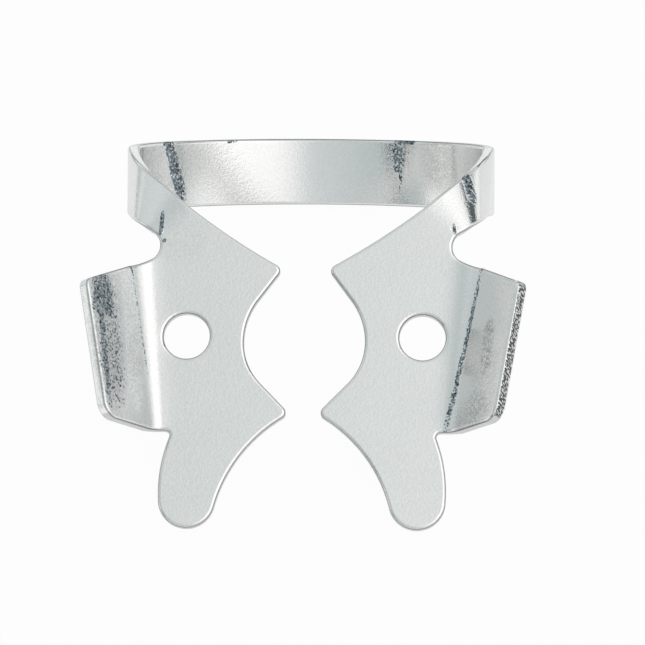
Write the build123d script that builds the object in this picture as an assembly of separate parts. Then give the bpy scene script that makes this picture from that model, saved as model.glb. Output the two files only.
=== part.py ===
# A rubber dam clamp: one piece of spring steel sheet, stamped flat and then folded.
#
# Two jaws grip the tooth below its crown. Each jaw has two prongs with a rounded bite between them,
# a hole for the tip of the forceps, a wing bent towards the gum, and a long flat tongue in front.
# The neck of each jaw folds over into the spring bow, which arches behind the tooth from jaw to jaw.
#
# The clamp is drawn in the frame of its jaws. X runs across the mouth of the clamp and Y runs
# backwards to the bow. The faces of the jaws that lie against the gum are on Z = 0, and the bow is
# below them. The line of Y = 0 joins the forceps holes, and the halves mirror about X = 0.
# At the end the clamp is turned over on to the three points that it rests on.
from build123d import *
import math
import os

# Sheet
sheet = 0.75

# Bite between the prongs, measured from the line that joins the forceps holes
bite_width = 7.08
bite_middle = -0.3
bite_radius_back = 4.2
bite_radius_front = 3.6
bite_turn_back = 36.5
bite_turn_front = 44.0

# Prongs: the sharp corners that their tips are rounded from
prong_gap_back = 2.60
prong_back = 4.10
prong_gap_front = 1.56
prong_front = -4.61
prong_round = 0.40

# Edge of the jaw that runs back from the rear prong to the neck: how far it bows
neck_edge_rise = 0.145

# Forceps holes
hole_spacing = 13.82
hole_diameter = 2.70

# Tongues in front of the jaws
tongue_spacing = 13.36
tongue_reach = 9.72
tongue_radius = 1.66
tongue_lead = 16.0
tongue_inner_rise = 0.735
tongue_outer_rise = 0.238
tongue_root_step = (0.46, 0.06)
tongue_root_round = 0.26

# Bow: its outer width where the arch begins, its strip, its lean backwards, the outward flare of
# its walls and its arch of three arcs
bow_width = 22.14
bow_strip = 4.12
bow_lean = 19.3
bow_flare = 5.0
bow_side_radius = 7.0
bow_side_turn = 50.0

# Fold of the neck, which is tighter at the front edge of the strip than at the back edge
neck_radius_front = 1.8
neck_radius_back = 4.0
neck_front_start = 6.25
neck_front_end = 7.72
neck_back_start = 7.97
neck_back_end = 12.55
neck_front_lead = 0.62
neck_back_lead = 0.92

# Wings: the bend is tighter at the front end of the wing than at the back end
wing_bend = 52.5
wing_radius_front = 0.9
wing_radius_back = 1.6
wing_start_front = (8.12, -5.66)
wing_start_back = (8.98, 4.71)
wing_width_front = 3.60
wing_width_back = 3.96
wing_taper_front = 0.60
wing_taper_back = 1.15
wing_back_lead = 0.62
wing_back_drop = 0.655
wing_round_front = 1.10
wing_round_back = 0.50

# Notch between the wing and the neck: how far its arc is cut into the jaw
notch_depth = 0.355

# How many sections carry the form of a fold
fold_steps = 10


def station(front, back, travel):
    """The cut through the sheet along one straight line of a fold, square to the sheet."""
    normal = travel.cross(back - front).normalized()
    corners = [front, back, back - normal * sheet, front - normal * sheet]
    return Face(Wire.make_polygon([Vector(corner) for corner in corners], close=True))


def blend(start, end, start_slope, share):
    """A value that runs from start to end, leaving start at start_slope per unit of share."""
    straight = end - start
    return start + straight * share + (start_slope - straight) * share * (1 - share)


def rise_of(y, z):
    """How far a point lies along the rise of the bow."""
    lean = math.radians(bow_lean)
    return y * math.sin(lean) - z * math.cos(lean)


def neck_lines():
    """Straight lines of the neck's fold, from the flat jaw to the flared wall of the bow."""
    flare = math.tan(math.radians(bow_flare))
    fold_turn = math.pi / 2 - math.atan(flare * math.cos(math.radians(bow_lean)))
    depth = 1 - math.cos(fold_turn)
    front_rise = rise_of(neck_front_end, -neck_radius_front * depth)
    back_rise = rise_of(neck_back_end, -neck_radius_back * depth)
    back_x = bow_width / 2
    front_x = back_x - (back_rise - front_rise) * flare
    front_slope = neck_front_lead * neck_radius_front * fold_turn
    back_slope = neck_back_lead * neck_radius_back * fold_turn
    lines = []
    for step in range(fold_steps + 1):
        share = step / fold_steps
        turn = fold_turn * share
        out, down = math.sin(fold_turn) - math.sin(turn), 1 - math.cos(turn)
        front_y = blend(neck_front_start, neck_front_end, front_slope, share)
        back_y = blend(neck_back_start, neck_back_end, back_slope, share)
        front = Vector(front_x - neck_radius_front * out, front_y, -neck_radius_front * down)
        back = Vector(back_x - neck_radius_back * out, back_y, -neck_radius_back * down)
        lines.append((front, back, Vector(math.cos(turn), 0, -math.sin(turn))))
    return lines


def wing_lines():
    """Straight lines of the wing's bend, from the flat jaw to the flat wing."""
    start_x, start_y = wing_start_back
    back_slope = -wing_back_lead * wing_radius_back * math.radians(wing_bend)
    lines = []
    for step in range(fold_steps + 1):
        share = step / fold_steps
        turn = math.radians(wing_bend) * share
        out, up = math.sin(turn), 1 - math.cos(turn)
        front = Vector(wing_start_front[0] + wing_radius_front * out, wing_start_front[1],
                       wing_radius_front * up)
        back_y = blend(start_y, start_y - wing_back_drop, back_slope, share)
        back = Vector(start_x + wing_radius_back * out, back_y, wing_radius_back * up)
        lines.append((front, back, Vector(math.cos(turn), 0, math.sin(turn))))
    return lines


def nearest(face, point):
    """The corner of a flat face that lies nearest to a point."""
    return face.vertices().sort_by_distance(Vector(*point))[0]


def jaw():
    """The flat part of the right jaw, with its prongs, its bite and its tongue."""
    neck_front, neck_back, _ = neck_lines()[0]
    rear_prong = (prong_gap_back / 2, prong_back)
    front_prong = (prong_gap_front / 2, prong_front)
    back_centre = (bite_width / 2 - bite_radius_back, bite_middle)
    front_centre = (bite_width / 2 - bite_radius_front, bite_middle)
    tongue_root = (wing_start_front[0] - tongue_root_step[0], wing_start_front[1] - tongue_root_step[1])
    back_arc = CenterArc(back_centre, bite_radius_back, 0, bite_turn_back)
    front_arc = CenterArc(front_centre, bite_radius_front, -bite_turn_front, bite_turn_front)
    tongue = (tongue_spacing / 2, -tongue_reach)
    tip = CenterArc(tongue, tongue_radius, 180 + tongue_lead, 180 - tongue_lead)
    outline = [
        SagittaArc(rear_prong, (neck_back.X, neck_back.Y), -neck_edge_rise),
        Line((neck_back.X, neck_back.Y), (neck_front.X, neck_front.Y)),
        SagittaArc((neck_front.X, neck_front.Y), wing_start_back, -notch_depth),
        Line(wing_start_back, wing_start_front),
        Line(wing_start_front, tongue_root),
        SagittaArc(tongue_root, tip @ 1, tongue_outer_rise),
        tip,
        SagittaArc(tip @ 0, front_prong, -tongue_inner_rise),
        Line(front_prong, front_arc @ 0),
        front_arc,
        back_arc,
        Line(back_arc @ 1, rear_prong),
    ]
    face = make_face(outline)
    face = fillet(nearest(face, rear_prong), prong_round)
    face = fillet(nearest(face, front_prong), prong_round)
    face = fillet(nearest(face, tongue_root), tongue_root_round)
    hole = Pos(hole_spacing / 2, 0) * Circle(hole_diameter / 2)
    return extrude(face - hole, -sheet)


def fold(lines):
    """A folded stretch of sheet through its straight lines."""
    return loft([station(*line) for line in lines])


def wing():
    """The flat part of the right wing, which tapers away from its bend."""
    front, back, travel = wing_lines()[-1]
    along = (back - front).normalized()
    normal = travel.cross(along).normalized()
    plane = Plane(origin=front, x_dir=along.cross(normal), z_dir=normal)
    length = (back - front).length
    outer_front = (wing_width_front, wing_taper_front)
    outer_back = (wing_width_back, length - wing_taper_back)
    face = make_face(Polyline((0, 0), outer_front, outer_back, (0, length), close=True))
    face = fillet(nearest(face, outer_front), wing_round_front)
    face = fillet(nearest(face, outer_back), wing_round_back)
    return extrude(plane * face, -sheet)


def bow_plane(offset=0.0):
    """The plane of the arch: X across the clamp and Y along the rise of the bow."""
    lean = math.radians(bow_lean)
    axis = Vector(0, math.cos(lean), math.sin(lean))
    return Plane(origin=axis * offset, x_dir=(1, 0, 0), z_dir=axis)


def bow_start():
    """Where the arch begins: its rise, and the places of the strip's front and back edges."""
    _, back, _ = neck_lines()[-1]
    local = bow_plane().to_local_coords(back)
    return local.Y, local.Z - bow_strip, local.Z


def wall():
    """The flat stretch of the strip between the neck's fold and the arch."""
    front, back, _ = neck_lines()[-1]
    rise, strip_front, _ = bow_start()
    low = bow_plane().from_local_coords(Vector(bow_width / 2, rise, strip_front))
    face = Face(Wire.make_polygon([front, back, low], close=True))
    outwards = face.normal_at()
    if outwards.X < 0:
        outwards = -outwards
    return extrude(face, sheet, dir=-outwards)


def arch_line(inset):
    """One face of the arch as three tangent arcs, inset from the outer face."""
    rise, _, _ = bow_start()
    flare = math.radians(bow_flare)
    side_x = bow_width / 2 - bow_side_radius * math.cos(flare)
    side_y = rise + bow_side_radius * math.sin(flare)
    turn = math.radians(bow_side_turn)
    crown_radius = bow_side_radius + side_x / math.cos(turn)
    crown_y = side_y + (bow_side_radius - crown_radius) * math.sin(turn)
    sweep = bow_flare + bow_side_turn
    side = CenterArc((side_x, side_y), bow_side_radius - inset, -bow_flare, sweep)
    crown = CenterArc((0, crown_y), crown_radius - inset, bow_side_turn, 180 - 2 * bow_side_turn)
    other = CenterArc((-side_x, side_y), bow_side_radius - inset, 180 - bow_side_turn, sweep)
    return [side, crown, other]


def bow():
    """The arch of the bow, from one wall to the other."""
    outer, inner = arch_line(0.0), arch_line(sheet)
    ends = [Line(outer[0] @ 0, inner[0] @ 0), Line(outer[2] @ 1, inner[2] @ 1)]
    _, strip_front, _ = bow_start()
    return extrude(bow_plane(strip_front) * make_face(outer + inner + ends), bow_strip)


def resting(part):
    """Turn the clamp over on to its tongues and the crown of its bow, and centre it on the table."""
    _, strip_front, _ = bow_start()
    top = arch_line(0.0)[1] @ 0.5
    crown = bow_plane().from_local_coords(Vector(0, top.Y, strip_front))
    tip_y = -tongue_reach - tongue_radius
    tilt = math.degrees(math.atan2(-sheet - crown.Z, crown.Y - tip_y))
    turned = Rot(tilt, 0, 0) * part
    box = turned.bounding_box()
    return Pos(0, -box.center().Y, -box.min.Z) * turned


half = jaw() + fold(neck_lines()) + wall() + fold(wing_lines()) + wing()
clamp = half + mirror(half, about=Plane.YZ) + bow()

if __name__ == "__main__":
    os.makedirs("parts", exist_ok=True)
    export_step(resting(clamp), "parts/clamp.step")
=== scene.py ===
# %% [markdown]
# # A rubber dam clamp in tumbled spring steel
#
# The clamp is one piece of steel sheet, 0.75 mm thick. It was stamped flat, and then its necks and
# wings were folded and its bow was arched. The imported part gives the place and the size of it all.
# This lesson gives the same form the things that a camera sees: rounded arrises, sheared edges and
# a surface that was tumbled with small stones.

# %% Load the part
import math

import bpy
import numpy as np
from mathutils import Matrix, Vector
from mathutils.geometry import delaunay_2d_cdt


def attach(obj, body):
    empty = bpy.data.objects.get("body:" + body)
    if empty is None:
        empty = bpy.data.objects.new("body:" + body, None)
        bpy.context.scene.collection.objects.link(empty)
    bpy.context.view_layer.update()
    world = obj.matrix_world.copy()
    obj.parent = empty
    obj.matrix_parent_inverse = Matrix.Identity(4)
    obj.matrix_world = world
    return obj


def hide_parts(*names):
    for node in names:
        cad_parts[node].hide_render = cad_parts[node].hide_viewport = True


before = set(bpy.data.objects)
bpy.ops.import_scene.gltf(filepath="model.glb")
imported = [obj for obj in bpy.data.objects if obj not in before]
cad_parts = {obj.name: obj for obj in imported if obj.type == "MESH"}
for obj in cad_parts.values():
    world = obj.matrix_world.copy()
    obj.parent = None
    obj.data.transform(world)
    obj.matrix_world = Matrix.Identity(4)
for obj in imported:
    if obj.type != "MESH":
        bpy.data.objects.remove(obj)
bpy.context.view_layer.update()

# %% [markdown]
# ## The sizes of the sheet
#
# A real maker works from a flat drawing and a list of bends. The values below are that drawing, in
# millimetres, in a frame where the gum side of the jaws is the plane Z = 0 and the line through the
# two forceps holes is Y = 0. A surface that is worked out from such values stays true to the part,
# and it can be as fine as the render needs.

# %% Sizes in millimetres and degrees
# Sheet, and the rounding of its arrises
sheet, arris = 0.75, 0.20

# Bite between the prongs, and the prongs
bite_width, bite_middle = 7.08, -0.3
bite_radius_back, bite_turn_back = 4.2, 36.5
bite_radius_front, bite_turn_front = 3.6, 44.0
prong_gap_back, prong_back = 2.60, 4.10
prong_gap_front, prong_front = 1.56, -4.61
prong_round = 0.40
neck_edge_rise = 0.145

# Forceps holes and tongues
hole_spacing, hole_diameter = 13.82, 2.70
tongue_spacing, tongue_reach, tongue_radius, tongue_lead = 13.36, 9.72, 1.66, 16.0
tongue_inner_rise, tongue_outer_rise = 0.735, 0.238
tongue_root_step, tongue_root_round = (0.46, 0.06), 0.26

# Bow
bow_width, bow_strip, bow_lean, bow_flare = 22.14, 4.12, 19.3, 5.0
bow_side_radius, bow_side_turn = 7.0, 50.0

# Fold of the neck, and the notch beside it
neck_radius_front, neck_radius_back = 1.8, 4.0
neck_front_start, neck_front_end, neck_front_lead = 6.25, 7.72, 0.62
neck_back_start, neck_back_end, neck_back_lead = 7.97, 12.55, 0.92
notch_depth = 0.355

# Wings
wing_bend, wing_radius_front, wing_radius_back = 52.5, 0.9, 1.6
wing_start_front, wing_start_back = (8.12, -5.66), (8.98, 4.71)
wing_width_front, wing_width_back = 3.60, 3.96
wing_taper_front, wing_taper_back = 0.60, 1.15
wing_back_lead, wing_back_drop = 0.62, 0.655
wing_round_front, wing_round_back = 1.10, 0.50

# How finely the mesh is made: the step along an edge and between the points of a flat stretch, the
# stops round each fold and arch, and the lines across each fold
edge_step, fill_step = 0.09, 0.16
neck_stops, bend_stops, crown_stops, side_stops, wall_stops, hole_stops = 24, 10, 76, 60, 30, 96
neck_columns, wing_columns = 26, 60
round_stops, edge_face_stops = 6, 4
ease_rounds = 40
print("sheet of", sheet, "mm, bow of", bow_width, "mm outside, holes of", hole_diameter, "mm")

# %% [markdown]
# ## Curves of the flat drawing
#
# The outline is made of lines and arcs. Each curve here is a function of a share from 0 to 1, so
# that it can be cut short, joined or sampled as finely as wanted. A rounded corner is made as a
# grinder makes it: a circle is rolled into the corner until it touches both curves.


# %% Lines, arcs and rolled corners
def line(start, end):
    """A straight line: start + share x (end - start)."""
    start, end = np.array(start, float), np.array(end, float)
    return lambda share: start + np.outer(share, end - start)


def arc(centre, radius, first, turn):
    """Part of a circle: centre + radius x (cosine, sine) of an angle that runs from first by turn."""
    centre = np.array(centre, float)

    def curve(share):
        angle = np.radians(first + turn * np.asarray(share, float))
        return centre + radius * np.stack([np.cos(angle), np.sin(angle)], axis=-1)
    return curve


def bowed(start, end, rise):
    """An arc from start to end whose middle stands off the chord by rise, to the left of travel."""
    start, end = np.array(start, float), np.array(end, float)
    chord = end - start
    half = np.linalg.norm(chord) / 2
    left = np.array([-chord[1], chord[0]]) / (2 * half)
    radius = (half ** 2 + rise ** 2) / (2 * abs(rise))
    centre = (start + end) / 2 + left * (rise - math.copysign(radius, rise))
    first = math.degrees(math.atan2(*(start - centre)[::-1]))
    turn = -math.copysign(2 * math.degrees(math.asin(half / radius)), rise)
    return arc(centre, radius, first, turn)


def place_and_left(curve, share, small=1e-5):
    """A point of a curve and the direction to the left of travel there."""
    before, here, after = curve(np.array([share - small, share, share + small]))
    along = (after - before) / np.linalg.norm(after - before)
    return here, np.array([-along[1], along[0]])


def rolled(first, second, radius):
    """Two curves trimmed to a circle that touches both, with the arc between them.
    The centre lies at the radius from each curve, which fixes the two shares by Newton's method."""
    rounds, nudge = 30, 1e-4
    _, left_one = place_and_left(first, 1.0)
    _, left_two = place_and_left(second, 0.0)
    side = math.copysign(radius, left_one[0] * left_two[1] - left_one[1] * left_two[0])

    def miss(shares):
        one, normal_one = place_and_left(first, shares[0])
        two, normal_two = place_and_left(second, shares[1])
        return one + side * normal_one - two - side * normal_two

    shares = np.array([1.0, 0.0])
    for _ in range(rounds):
        error = miss(shares)
        slopes = np.stack([(miss(shares + change) - error) / nudge for change in np.eye(2) * nudge],
                          axis=1)
        shares = shares - np.linalg.solve(slopes, error)
    point_one, normal_one = place_and_left(first, shares[0])
    point_two, _ = place_and_left(second, shares[1])
    centre = point_one + side * normal_one
    start = math.atan2(*(point_one - centre)[::-1])
    turn = math.atan2(*(point_two - centre)[::-1]) - start
    turn = (turn + math.pi) % (2 * math.pi) - math.pi
    cut, rest = shares
    return (lambda share: first(np.asarray(share) * cut),
            arc(centre, radius, math.degrees(start), math.degrees(turn)),
            lambda share: second(rest + (1 - rest) * np.asarray(share)))


def joined(curves, rounds):
    """A chain of curves, with a circle rolled into each corner that has a radius."""
    chain = [curves[0]]
    for following, radius in zip(curves[1:], rounds):
        chain += list(rolled(chain.pop(), following, radius)) if radius else [following]
    return chain


def sampled(chain):
    """Points along a chain of curves, about one edge_step apart and never fewer than 10 a curve."""
    fewest, chords = 10, 200
    pieces = []
    for curve in chain:
        rough = curve(np.linspace(0, 1, chords))
        length = np.linalg.norm(np.diff(rough, axis=0), axis=1).sum()
        count = max(fewest, math.ceil(length / edge_step))
        pieces.append(curve(np.linspace(0, 1, count + 1))[1 if pieces else 0:])
    return np.concatenate(pieces)


# %% [markdown]
# ## Folds and bow as straight lines that travel
#
# A folded sheet is a ruled surface: straight lines lie side by side, and each turns a little more
# than the last. The neck's fold is tighter at its front end than at its back end, so its lines fan
# out like those of a cone. Each row below gives the two ends of one straight line and the normal of
# the sheet there, which is square to the line and to the way that the line travels.


# %% Rows of the folds
def crossed(one, two):
    """Unit vectors square to two sets of vectors."""
    product = np.cross(one, two)
    return product / np.linalg.norm(product, axis=-1, keepdims=True)


def blend(start, end, start_slope, share):
    """A value that runs from start to end, leaving start at start_slope per unit of share."""
    straight = end - start
    return start + straight * share + (start_slope - straight) * share * (1 - share)


def rise_of(y, z):
    """How far a point lies along the rise of the bow."""
    lean = math.radians(bow_lean)
    return y * math.sin(lean) - z * math.cos(lean)


def neck_rows(count):
    """Front ends, back ends and normals of the neck's fold, from the jaw to the wall of the bow."""
    flare = math.tan(math.radians(bow_flare))
    whole = math.pi / 2 - math.atan(flare * math.cos(math.radians(bow_lean)))
    depth = 1 - math.cos(whole)
    back_rise = rise_of(neck_back_end, -neck_radius_back * depth)
    front_rise = rise_of(neck_front_end, -neck_radius_front * depth)
    climb = back_rise - front_rise
    share = np.linspace(0, 1, count + 1)
    turn = whole * share
    out, down = math.sin(whole) - np.sin(turn), 1 - np.cos(turn)
    front_slope = neck_front_lead * neck_radius_front * whole
    back_slope = neck_back_lead * neck_radius_back * whole
    front_y = blend(neck_front_start, neck_front_end, front_slope, share)
    back_y = blend(neck_back_start, neck_back_end, back_slope, share)
    front_x = bow_width / 2 - climb * flare - neck_radius_front * out
    back_x = bow_width / 2 - neck_radius_back * out
    front = np.stack([front_x, front_y, -neck_radius_front * down], axis=1)
    back = np.stack([back_x, back_y, -neck_radius_back * down], axis=1)
    travel = np.stack([np.cos(turn), 0 * turn, -np.sin(turn)], axis=1)
    return front, back, crossed(travel, back - front)


def wing_rows(count):
    """Front ends, back ends and normals of the wing's bend, from the jaw to the flat wing."""
    whole = math.radians(wing_bend)
    share = np.linspace(0, 1, count + 1)
    turn = whole * share
    out, up = np.sin(turn), 1 - np.cos(turn)
    start_x, start_y = wing_start_back
    back_slope = -wing_back_lead * wing_radius_back * whole
    back_y = blend(start_y, start_y - wing_back_drop, back_slope, share)
    front_x, front_y = wing_start_front
    front = np.stack([front_x + wing_radius_front * out, front_y + 0 * out, wing_radius_front * up],
                     axis=1)
    back = np.stack([start_x + wing_radius_back * out, back_y, wing_radius_back * up], axis=1)
    travel = np.stack([np.cos(turn), 0 * turn, np.sin(turn)], axis=1)
    return front, back, crossed(travel, back - front)


neck_front, neck_back, neck_normal = neck_rows(neck_stops)
bend_front, bend_back, bend_normal = wing_rows(bend_stops)
print("fold of the neck ends between", np.round(neck_front[-1], 2), np.round(neck_back[-1], 2))

# %% [markdown]
# ## The arch of the bow
#
# The spring is an arch of three tangent arcs, carried along an axis that leans away from the jaws.
# The rise of the bow and its axis are two directions square to each other, so a point of the arch is
# its distance across, plus its rise, plus its place along the axis.

# %% Arch and wall
lean = math.radians(bow_lean)
rise_way = np.array([0, math.sin(lean), -math.cos(lean)])
axis_way = np.array([0, math.cos(lean), math.sin(lean)])
arch_rise = neck_back[-1] @ rise_way
strip_back = neck_back[-1] @ axis_way
strip_front = strip_back - bow_strip


def arch_points(offset):
    """Points and outward normals along one edge of the bow's outer face, from crown to side."""
    flare, turn = math.radians(bow_flare), math.radians(bow_side_turn)
    side_x = bow_width / 2 - bow_side_radius * math.cos(flare)
    side_y = arch_rise + bow_side_radius * math.sin(flare)
    crown_radius = bow_side_radius + side_x / math.cos(turn)
    crown_y = side_y + (bow_side_radius - crown_radius) * math.sin(turn)
    crown_angle = np.linspace(math.pi / 2, turn, crown_stops)
    side_angle = np.linspace(turn, -flare, side_stops)[1:]
    angle = np.concatenate([crown_angle, side_angle])
    on_crown = np.arange(len(angle)) < len(crown_angle)
    radius = np.where(on_crown, crown_radius, bow_side_radius)
    across = np.where(on_crown, 0, side_x) + radius * np.cos(angle)
    climb = np.where(on_crown, crown_y, side_y) + radius * np.sin(angle)
    normal = np.outer(np.cos(angle), [1, 0, 0]) + np.outer(np.sin(angle), rise_way)
    return np.outer(across, [1, 0, 0]) + np.outer(climb, rise_way) + offset * axis_way, normal


bow_back, bow_normal = arch_points(strip_back)
bow_front, _ = arch_points(strip_front)
wall_share = np.linspace(0, 1, wall_stops)
wall_front = neck_front[-1] + np.outer(wall_share, bow_front[-1] - neck_front[-1])
wall_normal = np.repeat(neck_normal[-1:], wall_stops, axis=0)
print("rise of the bow in mm", round(float(bow_back[0] @ rise_way), 2))

# %% [markdown]
# ## One walk round the edge
#
# Everything that is special about a stamped sheet happens at its edge, so the edge is walked once
# from the crown of the bow round the right jaw and back to the crown. At each stop the walk knows
# the place, the normal of the sheet and the way out of the sheet. The left half is a mirror of it.


# %% The outline of the jaw
def flat(points):
    """Points of the drawing laid on the plane of the jaws."""
    return np.column_stack([points, np.zeros(len(points))])


rear_prong, front_prong = (prong_gap_back / 2, prong_back), (prong_gap_front / 2, prong_front)
back_centre = (bite_width / 2 - bite_radius_back, bite_middle)
front_centre = (bite_width / 2 - bite_radius_front, bite_middle)
bite_back = arc(back_centre, bite_radius_back, bite_turn_back, -bite_turn_back)
bite_front = arc(front_centre, bite_radius_front, 0, -bite_turn_front)
tongue = (tongue_spacing / 2, -tongue_reach)
tip = arc(tongue, tongue_radius, 180 + tongue_lead, 180 - tongue_lead)
root = (wing_start_front[0] - tongue_root_step[0], wing_start_front[1] - tongue_root_step[1])
ends = {"bite back": bite_back([0.0])[0], "bite front": bite_front([1.0])[0],
        "tip inner": tip([0.0])[0], "tip outer": tip([1.0])[0]}
inner_edge = joined(
    [bowed(neck_back[0, :2], rear_prong, neck_edge_rise), line(rear_prong, ends["bite back"]),
     bite_back, bite_front, line(ends["bite front"], front_prong),
     bowed(front_prong, ends["tip inner"], tongue_inner_rise), tip,
     bowed(ends["tip outer"], root, -tongue_outer_rise), line(root, wing_start_front)],
    [prong_round, None, None, None, prong_round, None, None, tongue_root_round])
notch_edge = [bowed(wing_start_back, neck_front[0, :2], notch_depth)]
print("curves round the jaw:", len(inner_edge) + len(notch_edge))

# %% The outline of the wing
wing_length = np.linalg.norm(bend_back[-1] - bend_front[-1])
wing_along = (bend_back[-1] - bend_front[-1]) / wing_length
wing_across = np.cross(wing_along, bend_normal[-1])
outer_front = (wing_width_front, wing_taper_front)
outer_back = (wing_width_back, wing_length - wing_taper_back)
wing_edge = joined(
    [line((0, 0), outer_front), line(outer_front, outer_back), line(outer_back, (0, wing_length))],
    [wing_round_front, wing_round_back])
print("length of the wing in mm", round(float(wing_length), 2))


def on_wing(points):
    """Points of the wing's own drawing, placed in its plane."""
    return bend_front[-1] + np.outer(points[:, 0], wing_across) + np.outer(points[:, 1], wing_along)


# %% The walk
walk = {"points": [], "normals": [], "spans": {}}


def take(name, points, normals):
    """Add a stretch of edge to the walk. It starts at the stop where the last one ended."""
    normals = np.broadcast_to(normals, points.shape)
    first = len(walk["points"])
    if first:
        points, normals, first = points[1:], normals[1:], first - 1
    walk["points"] += list(points)
    walk["normals"] += list(normals)
    walk["spans"][name] = np.arange(first, len(walk["points"]))


upright = np.array([0.0, 0.0, 1.0])
take("bow back", bow_back, bow_normal)
take("neck back", neck_back[::-1], neck_normal[::-1])
take("inner edge", flat(sampled(inner_edge)), upright)
take("bend front", bend_front, bend_normal)
take("wing edge", on_wing(sampled(wing_edge)), bend_normal[-1])
take("bend back", bend_back[::-1], bend_normal[::-1])
take("notch", flat(sampled(notch_edge)), upright)
take("neck front", neck_front, neck_normal)
take("wall front", wall_front, wall_normal)
take("bow front", bow_front[::-1], bow_normal[::-1])
edge_points, edge_normals = np.array(walk["points"]), np.array(walk["normals"])
spans = walk["spans"]
print("stops round half of the clamp:", len(edge_points))


# %% The way out of the sheet
def ways_out(points, normals, closed=False):
    """Unit vectors that lie in the sheet and point out of its edge: tangent crossed with normal.
    The open walk starts and ends on the mirror plane, where it runs straight across."""
    if closed:
        tangent = np.roll(points, -1, axis=0) - np.roll(points, 1, axis=0)
    else:
        tangent = np.gradient(points, axis=0)
        tangent[0], tangent[-1] = [1, 0, 0], [-1, 0, 0]
    return crossed(tangent, normals)


edge_out = ways_out(edge_points, edge_normals)
inset = edge_points - arris * edge_out
hole_angle = np.linspace(0, -2 * math.pi, hole_stops, endpoint=False)
hole_points = flat(np.stack([hole_spacing / 2 + hole_diameter / 2 * np.cos(hole_angle),
                             hole_diameter / 2 * np.sin(hole_angle)], axis=1))
hole_normals = np.tile(upright, (len(hole_points), 1))
hole_out = ways_out(hole_points, hole_normals, closed=True)
hole_inset = hole_points - arris * hole_out
print("stops round a forceps hole:", len(hole_points))

# %% [markdown]
# ## The faces of the sheet
#
# The folded stretches are grids: one parameter walks through the straight lines and the other along
# them. The jaw and the wing are flat, so their outlines are filled with triangles, which show no
# shading of their own. Each stretch is made as a list of places, normals and faces. The far face of
# the sheet is the same list moved through its thickness and turned round.


# %% Collecting the mesh
mesh_parts = []
edge_marks = ["sheared", "run", "depth", "torn", "burnished"]


def keep(points, normals, faces, **marks):
    """Store one stretch of surface. The marks say how much of it is sheared edge, where it lies along
    the edge and through the sheet, and whether the edge is torn or has a painted bright edge there."""
    blank = np.zeros(len(points))
    mesh_parts.append((points, normals, [list(face) for face in faces],
                       [marks.get(name, blank) for name in edge_marks]))


def keep_both(points, normals, faces):
    """Store a stretch of the near face and the far face that lies one thickness behind it."""
    keep(points, normals, faces)
    keep(points - sheet * normals, -normals, [face[::-1] for face in faces])


def grid_faces(rows, columns, wrap=False):
    """Four-sided faces of a grid of rows x columns points, counted row by row."""
    row, column = np.meshgrid(np.arange(rows if wrap else rows - 1), np.arange(columns - 1),
                              indexing="ij")
    here = row * columns + column
    beyond = (row + 1) % rows * columns + column
    return np.stack([here, here + 1, beyond + 1, beyond], axis=-1).reshape(-1, 4)


def ruled(front_stops, back_stops, columns, turned=False):
    """A grid between two edges: each row is a straight line from its front stop to its back stop."""
    share = np.linspace(0, 1, columns)[None, :, None]
    front, back = inset[front_stops][:, None], inset[back_stops][:, None]
    points = front + (back - front) * share
    front_normal, back_normal = edge_normals[front_stops][:, None], edge_normals[back_stops][:, None]
    normals = front_normal * (1 - share) + back_normal * share
    normals = normals / np.linalg.norm(normals, axis=2, keepdims=True)
    faces = grid_faces(len(front_stops), columns)
    keep_both(points.reshape(-1, 3), normals.reshape(-1, 3), faces[:, ::-1] if turned else faces)
    return points


# %% Bow, wall, fold and bend
ruled(spans["bow front"][::-1], spans["bow back"], neck_columns)
back_end = np.full(wall_stops, spans["neck back"][0])
ruled(spans["wall front"], back_end, neck_columns, turned=True)
neck_grid = ruled(spans["neck front"], spans["neck back"][::-1], neck_columns, turned=True)
bend_grid = ruled(spans["bend front"], spans["bend back"][::-1], wing_columns, turned=True)
print("stretches of folded sheet, near and far:", len(mesh_parts))


# %% Flat stretches
def inside(points, loop):
    """Which points lie inside a closed loop: a ray from such a point crosses it an odd number of
    times."""
    tiny = 1e-12
    start, end = loop, np.roll(loop, -1, axis=0)
    above = (start[None, :, 1] > points[:, None, 1]) != (end[None, :, 1] > points[:, None, 1])
    lift = np.where(end[:, 1] == start[:, 1], tiny, end[:, 1] - start[:, 1])
    meet = start[:, 0] + (points[:, None, 1] - start[:, 1]) / lift * (end[:, 0] - start[:, 0])
    return (above & (points[:, None, 0] < meet)).sum(axis=1) % 2 == 1


def between(points, loops):
    """Which points lie inside the first loop and outside the others."""
    wanted = inside(points, loops[0])
    for loop in loops[1:]:
        wanted &= ~inside(points, loop)
    return wanted


def honeycomb(loop):
    """Points of a grid of triangles over the box of a loop: every other row is moved by half a step."""
    row_step = 0.866 * fill_step
    low, high = loop.min(axis=0), loop.max(axis=0)
    row, column = np.meshgrid(np.arange(low[1], high[1], row_step),
                              np.arange(low[0], high[0], fill_step), indexing="ij")
    column = column + fill_step / 2 * (np.arange(len(row)) % 2)[:, None]
    return np.stack([column.ravel(), row.ravel()], axis=1)


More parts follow.
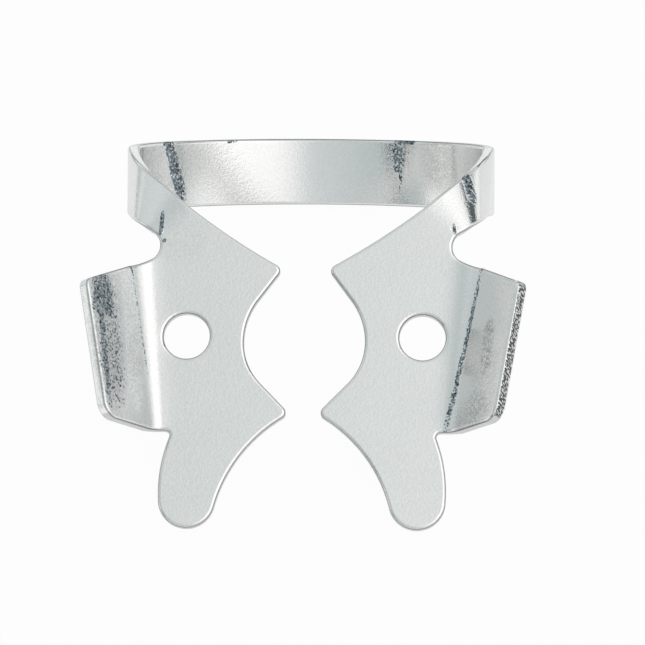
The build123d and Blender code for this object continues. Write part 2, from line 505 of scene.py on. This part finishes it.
def filled(loops):
    """Points and triangles that fill the first loop and leave the others open. The points are those of
    the loops and then a honeycomb that keeps clear of every loop."""
    clearance, merge_distance = 0.6 * fill_step, 1e-7
    edge = np.concatenate(loops)
    field = honeycomb(loops[0])
    field = field[between(field, loops)]
    away = (field[:, None, 0] - edge[:, 0]) ** 2 + (field[:, None, 1] - edge[:, 1]) ** 2
    field = field[away.min(axis=1) > clearance ** 2]
    points = np.concatenate([edge, field])
    pairs, base = [], 0
    for loop in loops:
        order = np.arange(len(loop)) + base
        pairs += list(zip(order.tolist(), np.roll(order, -1).tolist()))
        base += len(loop)
    corners = [Vector(point) for point in points]
    _, _, faces, origins, _, _ = delaunay_2d_cdt(corners, pairs, [], 0, merge_distance)
    triangles = np.array([[origins[corner][0] for corner in face] for face in faces])
    triangles = triangles[between(points[triangles].mean(axis=1), loops)]
    start = points[triangles[:, 0]]
    one, two = points[triangles[:, 1]] - start, points[triangles[:, 2]] - start
    backwards = one[:, 0] * two[:, 1] - one[:, 1] * two[:, 0] < 0
    triangles[backwards] = triangles[backwards][:, ::-1]
    return points, triangles


jaw_loop = np.concatenate([inset[spans["inner edge"]], bend_grid[0, 1:-1],
                           inset[spans["notch"]], neck_grid[0, 1:-1]])
jaw_drawing, jaw_faces = filled([jaw_loop[:, :2], hole_inset[:, :2]])
keep_both(flat(jaw_drawing), np.tile(upright, (len(jaw_drawing), 1)), jaw_faces)

wing_loop = np.concatenate([inset[spans["wing edge"]], bend_grid[-1, 1:-1][::-1]])
wing_axes = np.stack([wing_across, wing_along], axis=1)
wing_drawing, wing_faces = filled([(wing_loop - bend_front[-1]) @ wing_axes])
keep_both(on_wing(wing_drawing), np.tile(bend_normal[-1], (len(wing_drawing), 1)), wing_faces)
print("points of one jaw and one wing", len(jaw_drawing), len(wing_drawing))

# %% [markdown]
# ## The sheared edge
#
# The punch leaves an edge that is square to the sheet, and tumbling rounds its two arrises. That is
# a profile carried along a path: two quarter rounds with a flat between them, at every stop of the
# walk. The rounds are where a small steel part catches the light, so they are real geometry here.


# %% Rim
def rim(points, normals, out, torn_stops=(), burnished_stops=(), closed=False):
    """Quarter round, flat and quarter round from the near face to the far face, along the edge.
    Each profile point lies at the stop + a x way out - b x normal of the sheet. The mark of the
    sheared edge is a high power of how far the surface leans out, so it fades over the rounds."""
    fade_power = 6
    quarter = np.linspace(0, math.pi / 2, round_stops)
    flat_share = np.linspace(0, 1, edge_face_stops + 2)[1:-1]
    middle = arris + (sheet - 2 * arris) * flat_share
    outward = np.concatenate([arris * (np.sin(quarter) - 1), 0 * middle, arris * (np.cos(quarter) - 1)])
    inward = np.concatenate([arris * (1 - np.cos(quarter)), middle,
                             sheet - arris + arris * np.sin(quarter)])
    lean_out = np.concatenate([np.sin(quarter), 0 * middle + 1, np.cos(quarter)])
    lean_up = np.concatenate([np.cos(quarter), 0 * middle, -np.sin(quarter)])
    places = points[:, None] + outward[:, None] * out[:, None] - inward[:, None] * normals[:, None]
    ways = lean_out[:, None] * out[:, None] + lean_up[:, None] * normals[:, None]
    ahead = np.roll(points, -1, axis=0) - points
    length = np.concatenate([[0], np.cumsum(np.linalg.norm(ahead, axis=1))[:-1]])
    rows, columns = len(points), len(outward)
    faces = grid_faces(rows, columns, wrap=closed)
    torn = 1.0 * np.isin(np.arange(rows), torn_stops)
    burnished = 1.0 * np.isin(np.arange(rows), burnished_stops)
    keep(places.reshape(-1, 3), ways.reshape(-1, 3), faces,
         sheared=np.tile(lean_out ** fade_power, rows), depth=np.tile(inward / sheet, rows),
         run=np.repeat(length, columns), torn=np.repeat(torn, columns),
         burnished=np.repeat(burnished, columns))


corner_reach = 0.25
wing_end = spans["wing edge"]
out_from_bend = (edge_points[wing_end] - bend_front[-1]) @ wing_across
wing_end = wing_end[out_from_bend > wing_width_front - corner_reach]
neck_edge = spans["inner edge"][edge_points[spans["inner edge"], 1] > prong_back]
rim(edge_points, edge_normals, edge_out, torn_stops=wing_end,
    burnished_stops=np.concatenate([spans["neck back"], neck_edge]))
rim(hole_points, hole_normals, hole_out, closed=True)
print("stops of the torn end:", len(wing_end), "and of the burnished inner edge:", len(neck_edge))

# %% [markdown]
# ## Lying on the table
#
# The clamp comes to rest on the crown of its bow and on the tips of its tongues. Turning it about X
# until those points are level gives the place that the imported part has.

# %% Rest
tip_y = -tongue_reach - tongue_radius
crown = bow_front[0]
tilt = math.atan2(-sheet - crown[2], crown[1] - tip_y)
turn_over = np.array([[1, 0, 0],
                      [0, math.cos(tilt), -math.sin(tilt)],
                      [0, math.sin(tilt), math.cos(tilt)]])
both_faces = np.concatenate([edge_points, edge_points - sheet * edge_normals]) @ turn_over.T
low, high = both_faces.min(axis=0), both_faces.max(axis=0)
settle = np.array([0, -(low[1] + high[1]) / 2, -low[2]])
print("tilt of the jaws in degrees", round(math.degrees(tilt), 3), "moved by", np.round(settle, 3))


def resting(points):
    """Points of the drawing as they lie on the table, in metres."""
    return (points @ turn_over.T + settle) * 0.001


# %% Weld the two halves into one mesh
weld_decimals = 4
places, ways, faces, base = [], [], [], 0
marks = {name: [] for name in edge_marks}
for side in (1, -1):
    flip = np.array([side, 1, 1])
    for points, normals, corners, (sheared, run, depth, torn, burnished) in mesh_parts:
        places.append(points * flip)
        ways.append(normals * flip)
        faces += [[corner + base for corner in face[::side]] for face in corners]
        # Only the end of the right wing is torn. The end of the left wing gets a painted bright edge, a
        # painted highlight, instead.
        right = 1.0 if side == 1 else 0.0
        burnished = np.maximum(burnished, torn * (1 - right))
        values = (sheared, run * side, depth, torn * right, burnished)
        for name, value in zip(edge_marks, values):
            marks[name].append(value)
        base += len(points)
places, ways = np.concatenate(places), np.concatenate(ways)
rounded = np.round(places, weld_decimals)
_, first, welded = np.unique(rounded, axis=0, return_index=True, return_inverse=True)
welded = welded.ravel()
whole_faces = []
for face in faces:
    corners = list(dict.fromkeys(welded[face].tolist()))
    if len(corners) > 2:
        whole_faces.append(corners)
places, ways = resting(places[first]), ways[first] @ turn_over.T
marks = {name: np.concatenate(values)[first] for name, values in marks.items()}
print("points before and after welding", len(welded), len(places))

# %% [markdown]
# ## Soft bends
#
# A press never bends sheet from flat to round in one place: the curve eases in and out, and tumbling
# softens it more. The places above are right to a hundredth of a millimetre, so only the normals are
# eased, by taking the mean with the neighbours on the same face of the sheet again and again.

# %% Ease the normals
face_size = np.array([len(face) for face in whole_faces])
corner_list = np.concatenate([np.array(face) for face in whole_faces])
starts = np.concatenate([[0], np.cumsum(face_size)[:-1]])
following = np.arange(len(corner_list)) + 1
following[starts + face_size - 1] = starts
one, two = corner_list, corner_list[following]
on_sheet = marks["sheared"] < 1e-9
both = on_sheet[one] & on_sheet[two]
one, two = one[both], two[both]


def summed(values):
    """For each point, the sum of the values that the other ends of its edges hold."""
    return np.bincount(one, values[two], len(ways)) + np.bincount(two, values[one], len(ways))


count = summed(np.ones(len(ways)))
for _ in range(ease_rounds):
    total = np.stack([summed(ways[:, axis]) for axis in range(3)], axis=1)
    eased = ways + np.where(count[:, None] > 0, total / np.maximum(count, 1)[:, None], ways)
    ways = eased / np.linalg.norm(eased, axis=1, keepdims=True)
print("normals eased over", int((count > 0).sum()), "points")

# %% Make the mesh
steel_mesh = bpy.data.meshes.new("clamp_sheet")
steel_mesh.from_pydata(places.tolist(), [], whole_faces)
steel_mesh.validate()
steel_mesh.shade_smooth()
for name, values in marks.items():
    steel_mesh.attributes.new(name, "FLOAT", "POINT").data.foreach_set("value", values)
steel_mesh.normals_split_custom_set_from_vertices(ways.tolist())
steel_mesh.update()
clamp = bpy.data.objects.new("clamp_sheet", steel_mesh)
bpy.context.scene.collection.objects.link(clamp)
print("faces", len(steel_mesh.polygons), "points", len(steel_mesh.vertices))

# %% [markdown]
# ## Shader maths in plain expressions
#
# A material is a little sum of patterns. The class below wraps one output of a node, so that masks
# and patterns can be added and multiplied as in any formula, and each sign makes its own node.


# %% A socket that can be reckoned with
class Socket:
    """One value or colour in a node tree."""

    def __init__(self, tree, socket):
        self.tree, self.socket = tree, socket

    def node(self, kind, settings=None, **inputs):
        """Add a node: its settings first, then a value or a link for each input. An input goes by its
        name, or by n and its number."""
        made = self.tree.nodes.new(kind)
        for name, value in (settings or {}).items():
            setattr(made, name, value)
        for name, value in inputs.items():
            numbered = name[0] == "n" and name[1:].isdigit()
            key = int(name[1:]) if numbered else name.replace("_", " ")
            if isinstance(value, Socket):
                self.tree.links.new(value.socket, made.inputs[key])
            else:
                made.inputs[key].default_value = value
        return made

    def out(self, kind, output=0, settings=None, **inputs):
        """The same, giving one output of the new node."""
        return Socket(self.tree, self.node(kind, settings, **inputs).outputs[output])

    def maths(self, operation, other):
        """This value and another one, put together by a named operation."""
        return self.out("ShaderNodeMath", 0, {"operation": operation}, n0=self, n1=other)

    def __add__(self, other):
        return self.maths("ADD", other)

    def __mul__(self, other):
        return self.maths("MULTIPLY", other)

    def __sub__(self, other):
        return self.maths("SUBTRACT", other)

    def __rsub__(self, other):
        return (self * -1.0) + other

    __radd__, __rmul__ = __add__, __mul__

    def ramp(self, low, high):
        """0 below low, 1 above high and smooth between."""
        return self.out("ShaderNodeMapRange", 0, {"interpolation_type": "SMOOTHSTEP"},
                        Value=self, From_Min=low, From_Max=high)


def given(tree, kind, output):
    """The first socket of a sum: one output of a node that needs no input."""
    return Socket(tree, tree.nodes.new(kind).outputs[output])


def dot(vector, fixed):
    """How much of a vector lies along a fixed direction."""
    return vector.out("ShaderNodeVectorMath", 1, {"operation": "DOT_PRODUCT"}, n0=vector, n1=fixed)


def noise(vector, scale, detail, roughness=0.5):
    """A soft random pattern with scale lumps for each unit of its vector."""
    return vector.out("ShaderNodeTexNoise", 0, {}, Vector=vector, Scale=scale, Detail=detail,
                      Roughness=roughness)


# %% [markdown]
# ## Tumbled spring steel
#
# The real clamp is tumbled with small stones until it shines, which leaves a fine orange peel all
# over. Some places get granular pits and some are dull. The pits are painted dark reflections, and
# the dull places hold painted shade and painted light. Each such place is an oval on the sheet, in
# millimetres as the clamp lies on the table.

# %% Granular and dull places, with painted dark reflections, shade and light
steel = bpy.data.materials.new("tumbled_spring_steel")
steel.use_nodes = True
tree = steel.node_tree
shader = tree.nodes["Principled BSDF"]
place = given(tree, "ShaderNodeTexCoord", "Object")
to_mm = 1000.0


def oval(centre, along, square_to, half_length, half_width, soft):
    """A soft oval on the sheet with blunt ends, 1 inside and 0 outside, in millimetres from its centre:
    (along / half length)^4 + (across / half width)^2 + (through / reach)^2 < 1. The reach is half the
    thickness of the sheet and a little more, so that the far face keeps its own finish."""
    reach = 0.4
    along, through = Vector(along).normalized(), Vector(square_to).normalized()
    across = along.cross(through).normalized()
    from_centre = place.out("ShaderNodeVectorMath", 0, {"operation": "SUBTRACT"}, n0=place,
                            n1=tuple(value / to_mm for value in centre))
    forward = dot(from_centre, tuple(along)) * (to_mm / half_length)
    sideways = dot(from_centre, tuple(across)) * (to_mm / half_width)
    inwards = dot(from_centre, tuple(through)) * (to_mm / reach)
    forward = forward * forward
    spread = forward * forward + sideways * sideways + inwards * inwards
    return 1 - spread.ramp(1 - soft, 1 + soft)


# Granular places: centre, direction, normal, half length, half width, softness of the outline and
# how much of the place is pitted with painted dark reflections
granular_painted_dark_places = [
    # Inside of the bow
    ((-8.65, 10.5, 4.65), (-0.21, 0.46, 0.86), (0.73, -0.51, 0.45), 2.2, 0.42, 0.5, 0.85),
    ((5.1, 12.7, 3.65), (0.0, 0.66, 0.75), (-0.43, -0.68, 0.60), 1.1, 0.40, 0.8, 0.74),
    ((5.28, 11.9, 2.75), (0.0, 0.66, 0.75), (-0.42, -0.68, 0.60), 0.9, 0.12, 0.9, 0.6),
    ((5.6, 13.25, 4.35), (0.8, -0.5, 0.3), (-0.43, -0.68, 0.60), 0.75, 0.16, 0.4, 0.9),
    ((-9.1, 11.1, 6.15), (0.8, 0.5, -0.3), (0.72, -0.52, 0.45), 0.3, 0.10, 0.5, 0.95),
    ((-5.2, 13.2, 4.3), (0.9, 0.4, -0.2), (0.4, -0.68, 0.6), 0.35, 0.08, 0.5, 0.8),
    # Left wing
    ((-11.62, -4.66, 9.43), (0.04, -0.90, -0.40), (0.79, -0.21, 0.58), 1.35, 0.85, 0.7, 0.74),
    ((-11.46, -7.1, 8.31), (0.16, -0.87, -0.47), (0.79, -0.21, 0.58), 3.9, 0.24, 0.8, 0.72),
    ((-11.1, -6.9, 7.95), (0.15, -0.88, -0.46), (0.79, -0.21, 0.58), 4.0, 0.95, 0.95, 0.35),
    # Bends of the wings
    ((9.41, -5.37, 6.33), (0.207, 0.812, 0.543), (-0.6, -0.3, 0.7), 5.3, 0.17, 0.8, 0.75),
    ((-9.55, -4.6, 6.82), (0.17, -0.84, -0.52), (0.64, -0.31, 0.70), 3.4, 0.06, 0.9, 0.36),
    ((-10.2, -1.75, 8.6), (0.4, -0.8, -0.5), (0.71, -0.26, 0.65), 0.35, 0.07, 0.5, 0.9),
    # Necks
    ((9.62, 3.55, 10.15), (0.3, -0.9, -0.32), (0.46, -0.24, 0.85), 1.0, 0.32, 0.6, 0.85),
    ((10.35, 5.9, 9.98), (0.37, 0.89, -0.28), (0.1, 0.35, 0.93), 0.9, 0.05, 0.4, 0.9),
    ((-8.54, 1.1, 9.5), (0.06, 0.88, 0.47), (-0.03, -0.45, 0.9), 0.75, 0.13, 0.5, 0.95),
    ((-8.35, 0.19, 9.0), (0.06, 0.88, 0.47), (0.0, -0.49, 0.87), 0.12, 0.12, 0.4, 1.0),
    ((8.73, 0.9, 9.4), (-0.1, 0.86, 0.49), (0.0, -0.49, 0.87), 0.35, 0.10, 0.5, 0.85),
]
# Dull places: the same up to the softness, then how dull the place is and how much painted shade it
# gets. Painted shade below 0 is painted light, which makes the place brighter than the rest
dull_painted_light_places = [
    # Corners of the bow, with painted light
    ((-9.8, 9.6, 6.2), (0.42, 0.56, -0.71), (0.9, -0.32, 0.28), 2.3, 2.2, 0.9, 1.0, -0.6),
    ((9.8, 9.7, 6.3), (-0.42, 0.56, -0.71), (-0.9, -0.32, 0.28), 2.0, 2.2, 0.9, 1.0, -0.3),
    # Left wing with painted shade, its bend with a painted highlight, and the jaw by the neck with
    # painted shade
    ((-11.3, -6.4, 8.4), (0.13, -0.89, -0.44), (0.79, -0.21, 0.58), 4.6, 1.25, 0.9, 0.8, 0.8),
    ((-10.0, -5.5, 6.95), (0.13, -0.89, -0.44), (0.79, -0.21, 0.58), 4.6, 0.6, 0.9, 0.3, -0.7),
    ((-9.1, -5.3, 6.1), (0.08, -0.87, -0.49), (0.46, -0.39, 0.80), 5.0, 0.8, 0.9, 0.3, 0.1),
    ((-7.2, 1.05, 9.48), (0.06, 0.88, 0.47), (0.0, -0.49, 0.87), 2.2, 1.4, 0.9, 0.0, 0.15),
    # Right side of the bow, with painted shade
    ((7.7, 11.7, 4.5), (0.0, 0.66, 0.75), (-0.62, -0.58, 0.52), 2.0, 1.2, 0.9, 0.3, 0.5),
    # Right wing, with painted shade
    ((10.66, -6.6, 7.5), (0.1, 0.89, 0.45), (-0.79, -0.21, 0.58), 1.6, 0.5, 0.9, 0.3, 1.0),
    ((9.7, -9.8, 5.2), (-0.8, -0.3, -0.5), (-0.79, -0.21, 0.58), 1.4, 1.0, 0.9, 0.2, 0.6),
    ((10.6, -8.6, 6.5), (0.1, 0.89, 0.45), (-0.79, -0.21, 0.58), 2.2, 1.3, 0.9, 0.4, 0.3),
]
granular_painted_dark, dull, painted_shade_and_light = 0.0, 0.0, 0.0
for *spot, amount in granular_painted_dark_places:
    granular_painted_dark = (oval(*spot) * amount).maths("MAXIMUM", granular_painted_dark)
for *spot, amount, dark in dull_painted_light_places:
    patch = oval(*spot)
    dull = patch * amount + dull
    painted_shade_and_light = patch * dark + painted_shade_and_light
print("granular places", len(granular_painted_dark_places), "and dull places", len(dull_painted_light_places))

# %% [markdown]
# ## The skin of the steel
#
# Four patterns fill the surface: the orange peel, a fine grain, slow clouds of tone, and cells of a
# tenth of a millimetre that each draw a chance and a shade. A cell turns into a painted dark pit, a
# painted dark reflection, where its chance is smaller than the share of the place that is pitted.

# %% Patterns of the faces
peel_size, grain_size, cloud_size, cell_size = 0.19, 0.075, 2.4, 0.10
peel = noise(place, to_mm / peel_size, 1.0)
grain = noise(place, to_mm / grain_size, 1.0, 0.6)
cloud = noise(place, to_mm / cloud_size, 2.0)
cells = place.out("ShaderNodeTexVoronoi", 1, {"feature": "F1"}, Vector=place,
                  Scale=to_mm / cell_size)
parts = cells.node("ShaderNodeSeparateColor", Color=cells)
chance, shade = [Socket(tree, channel) for channel in parts.outputs[:2]]
# Painted dark pits: painted dark reflections broken up into cells
painted_dark_pits = (granular_painted_dark * 1.1 - chance).ramp(-0.03, 0.2)
print("lumps of peel for each millimetre", round(1 / peel_size, 1))

# %% [markdown]
# ## The skin of the edge
#
# The edge has patterns of its own, laid out along its run and through its depth. The punch leaves
# long thin lines that follow the edge. The end of the right wing is torn, as a part is where it was
# broken off its strip: it has short slanted strokes between two arrises with a painted highlight. A
# painted dark reflection lines the place where a rounded arris meets the flat of the edge, and the
# stretches with a painted bright edge have less of it.

# %% Patterns of the edge
lines_along, lines_through = 0.9, 11.0
tears_along, tears_through, tears_slant = 8.5, 4.5, 4.0
sheared, run, depth, torn, burnished = [
    place.out("ShaderNodeAttribute", 2, {"attribute_name": name}) for name in edge_marks]
along_edge = place.out("ShaderNodeCombineXYZ", X=run * lines_along, Y=depth * lines_through)
rolled_lines = noise(along_edge, 1.0, 2.0)
slanted = place.out("ShaderNodeCombineXYZ", X=run * tears_along + depth * tears_slant,
                    Y=depth * tears_through)
strokes = noise(slanted, 1.0, 2.0).ramp(0.44, 0.56)
end_face = torn * sheared.ramp(0.55, 0.9)
# Painted highlight on the two arrises of the torn end
painted_arris_highlight = torn * sheared.ramp(0.1, 0.3) * (1 - sheared.ramp(0.55, 0.75))
# Painted dark reflection along the line where a rounded arris meets the flat of the edge
painted_dark_seam = sheared.ramp(0.05, 0.35) * (1 - sheared.ramp(0.6, 0.95))
painted_dark_seam = painted_dark_seam * (1 - burnished * 0.35) * (1 - torn)
print("marks of the edge:", ", ".join(edge_marks))

# %% [markdown]
# ## Relief, gloss and colour
#
# The patterns now do three things. They raise the surface by hundredths of a millimetre, they dull
# it, and they darken or lighten it: the torn strokes, and painted dark reflections, painted shade and
# painted highlights. Each mark takes its share of the metal's own tone, one after another, so a place
# with two marks is darker than either mark alone would make it.

# %% Relief and gloss
relief = 0.00002
polish = 0.08
height = peel * 0.32 + grain * (0.3 + granular_painted_dark * 0.9)
height = height + sheared * rolled_lines * 0.8 + end_face * strokes * 6.0
bump = place.out("ShaderNodeBump", Strength=1.0, Distance=relief, Height=height)
rough = cloud * 0.04 + polish + sheared * 0.06 + granular_painted_dark * 0.1 + dull * 0.35
tree.links.new(bump.socket, shader.inputs["Normal"])
tree.links.new(rough.socket, shader.inputs["Roughness"])
print("one unit of relief in mm", relief * to_mm)

# %% Colour
metal_tone = 0.775
# Painted dark pits and the painted shade of the dull places darken the tone, and their painted light
# below 0 brightens it
wear_and_painted_light = (1 - painted_dark_pits * (0.48 + 0.5 * shade)) * (1 - painted_shade_and_light * (0.02 + 0.36 * chance.ramp(0.2, 0.8)))
wear_and_painted_light = wear_and_painted_light * (1 - end_face * (strokes * 0.95 - 0.1)) * (1 - painted_dark_seam * 0.6)
wear_and_painted_light = wear_and_painted_light * (1 + painted_arris_highlight * 0.25)
# Sheared edge faces are darkened by a painted dark reflection, and the painted bright edges are
# lightened by a painted highlight
wear_and_painted_light = wear_and_painted_light * (1 - sheared * (0.2 - 0.3 * burnished * (0.6 + rolled_lines)))
tone = (cloud * 0.04 + shade * 0.045 + grain * 0.07 + metal_tone) * wear_and_painted_light
# The painted dark pits lean blue, like the dim room that they stand in for
colour = place.out("ShaderNodeCombineColor", Red=tone * (1.0 - 0.15 * painted_dark_pits), Green=tone,
                   Blue=tone * (0.988 + 0.12 * painted_dark_pits))
tree.links.new(colour.socket, shader.inputs["Base Color"])
shader.inputs["Metallic"].default_value = 1.0
steel_mesh.materials.append(steel)
print("nodes of the steel", len(tree.nodes))

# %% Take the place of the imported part
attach(clamp, "root")
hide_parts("clamp")
print("clamp_sheet rides the root and replaces the node clamp")

# %% [markdown]
# ## Table, room and camera
#
# A steel part is lit by what it mirrors, so the room matters as much as the metal. The table is pale
# paper that stays white to the camera and keeps the clamp's shadow. There are no lamps: the light
# comes from the room, which has soft bright and dark panels for the steel to mirror.

# %% Table
reach = 0.3
table_mesh = bpy.data.meshes.new("table")
table_mesh.from_pydata([(-reach, -reach, 0), (reach, -reach, 0), (reach, reach, 0), (-reach, reach, 0)],
                       [], [(0, 1, 2, 3)])
table = bpy.data.objects.new("table", table_mesh)
bpy.context.scene.collection.objects.link(table)
paper = bpy.data.materials.new("white_paper")
paper.use_nodes = True
paper_tree = paper.node_tree
paper_tree.nodes.remove(paper_tree.nodes["Principled BSDF"])
to_camera = given(paper_tree, "ShaderNodeLightPath", "Is Camera Ray")
to_gloss = given(paper_tree, "ShaderNodeLightPath", "Is Glossy Ray")
matt = to_camera.out("ShaderNodeBsdfDiffuse", Color=(0.85, 0.85, 0.85, 1))
glow = to_camera.out("ShaderNodeEmission", Strength=1.0)
surface = matt.out("ShaderNodeMixShader", n0=to_camera * 0.95 + to_gloss * 0.6, n1=matt, n2=glow)
paper_tree.links.new(surface.socket, paper_tree.nodes["Material Output"].inputs["Surface"])
table_mesh.materials.append(paper)
print("table of", 2 * reach, "metres a side")

# %% Room
world = bpy.data.worlds.new("room")
bpy.context.scene.world = world
world.use_nodes = True
background = world.node_tree.nodes["Background"]
way = given(world.node_tree, "ShaderNodeTexCoord", "Generated")
camera_ray = given(world.node_tree, "ShaderNodeLightPath", "Is Camera Ray")


def compass(azimuth, elevation):
    """A direction of the room: azimuth 0 is towards the viewer's side, +90 to the right."""
    azimuth, elevation = math.radians(azimuth), math.radians(elevation)
    return (math.sin(azimuth) * math.cos(elevation), -math.cos(azimuth) * math.cos(elevation),
            math.sin(elevation))


def panel(azimuth, elevation, half_width, half_height, soft):
    """A soft oval of the room, 1 inside and 0 outside:
    (across / half width)^2 + (up / half height)^2 < 1, with the sines of the angles."""
    middle = Vector(compass(azimuth, elevation))
    side = middle.cross(Vector((0, 0, 1))).normalized()
    rise = side.cross(middle)
    across = dot(way, tuple(side)) * (1 / math.sin(math.radians(half_width)))
    climb = dot(way, tuple(rise)) * (1 / math.sin(math.radians(half_height)))
    spread = across * across + climb * climb
    ahead = dot(way, tuple(middle)).maths("GREATER_THAN", 0.0)
    return ahead * (1 - spread.ramp(1 - soft, 1 + soft))


def with_panels(light, panels):
    """The light with panels in it. A panel above 0 adds to it, and one below 0 takes its share away."""
    for amount, *shape in panels:
        oval_panel = panel(*shape)
        light = light + amount * oval_panel if amount > 0 else light * (1 + amount * oval_panel)
    return light


# %% Light of the room
# Each panel: how much, azimuth, elevation, half width and half height in degrees, and softness
main_panels = [(0.27, 40, 32, 24, 30, 0.8), (0.08, 85, 48, 26, 24, 0.8),
               (0.16, 40, 62, 22, 22, 0.9), (0.18, -125, 35, 30, 30, 0.8)]
small_panels = [(-0.85, -55, 24, 6, 6, 0.3), (0.24, 68, 51, 17, 24, 0.8),
                (0.16, 108, 58, 16, 12, 0.9), (-0.88, 116, 29, 8, 12, 0.4),
                (-0.25, 102, 16, 12, 12, 0.9)]
low_panels = [(0.45, 180, 12, 45, 9, 0.5), (0.2, -118, 5, 12, 9, 0.9),
              (0.25, 121, 4, 10, 8, 0.9), (0.6, -82, 8, 14, 8, 0.6)]
to_right, to_back, upward = [dot(way, axis) for axis in ((1, 0, 0), (0, 1, 0), (0, 0, 1))]
light = with_panels(0.73 + 0.23 * to_right, main_panels)
light = light * (1 - 0.35 * to_back.ramp(0.45, 0.85))
light = with_panels(light, small_panels)
light = light * (0.6 + 0.4 * upward.ramp(0.0, 0.2))
light = with_panels(light, low_panels)
# The dim parts of the room are a little blue. The camera sees plain white behind the clamp
dim = (1 - light).maths("MAXIMUM", 0.0)
tint = way.out("ShaderNodeCombineColor", Red=1.0 - 0.22 * dim, Green=1.0, Blue=1.0 + 0.02 * dim)
white = way.out("ShaderNodeMix", 2, {"data_type": "RGBA"}, n0=camera_ray, n6=tint, n7=(1, 1, 1, 1))
strength = light + camera_ray * (1 - light)
world.node_tree.links.new(white.socket, background.inputs["Color"])
world.node_tree.links.new(strength.socket, background.inputs["Strength"])
print("panels in the room:", len(main_panels + small_panels + low_panels))

# %% Camera
# The photo was taken nearly square to the jaws. These are the camera's slants in degrees, its
# distance in millimetres, and in pixels its focal length, the picture's side and the place of the
# middle between the forceps holes
slant_right, slant_front, slant_roll = 2.5, 13.0, -0.97
distance, focal, picture_side = 200.0, 3420.0, 645
middle_x, middle_y = 304.3, 336.3
direction = np.array([math.tan(math.radians(slant_right)), -math.tan(math.radians(slant_front)), 1.0])
direction /= np.linalg.norm(direction)
level_up = np.array([0, 1.0, 0]) - direction[1] * direction
level_up /= np.linalg.norm(level_up)
level_right = np.cross(level_up, direction)
roll = math.radians(slant_roll)
right = math.cos(roll) * level_right - math.sin(roll) * level_up
up = math.sin(roll) * level_right + math.cos(roll) * level_up
move_right = (middle_x - picture_side / 2) / focal * distance
move_up = -(middle_y - picture_side / 2) / focal * distance
eye = resting((distance * direction - move_right * right - move_up * up)[None])[0]
lens = bpy.data.cameras.new("camera")
lens.sensor_width = 36.0
lens.lens = focal / picture_side * lens.sensor_width
camera = bpy.data.objects.new("camera", lens)
axes = np.array([right, up, direction]) @ turn_over.T
camera.matrix_world = Matrix([[*axes[:, row], eye[row]] for row in range(3)] + [[0, 0, 0, 1]])
bpy.context.scene.collection.objects.link(camera)
bpy.context.scene.camera = camera
bpy.context.scene.view_settings.view_transform = "Standard"
print("camera in mm", np.round(eye * to_mm, 1).tolist(), "lens", round(lens.lens, 1))
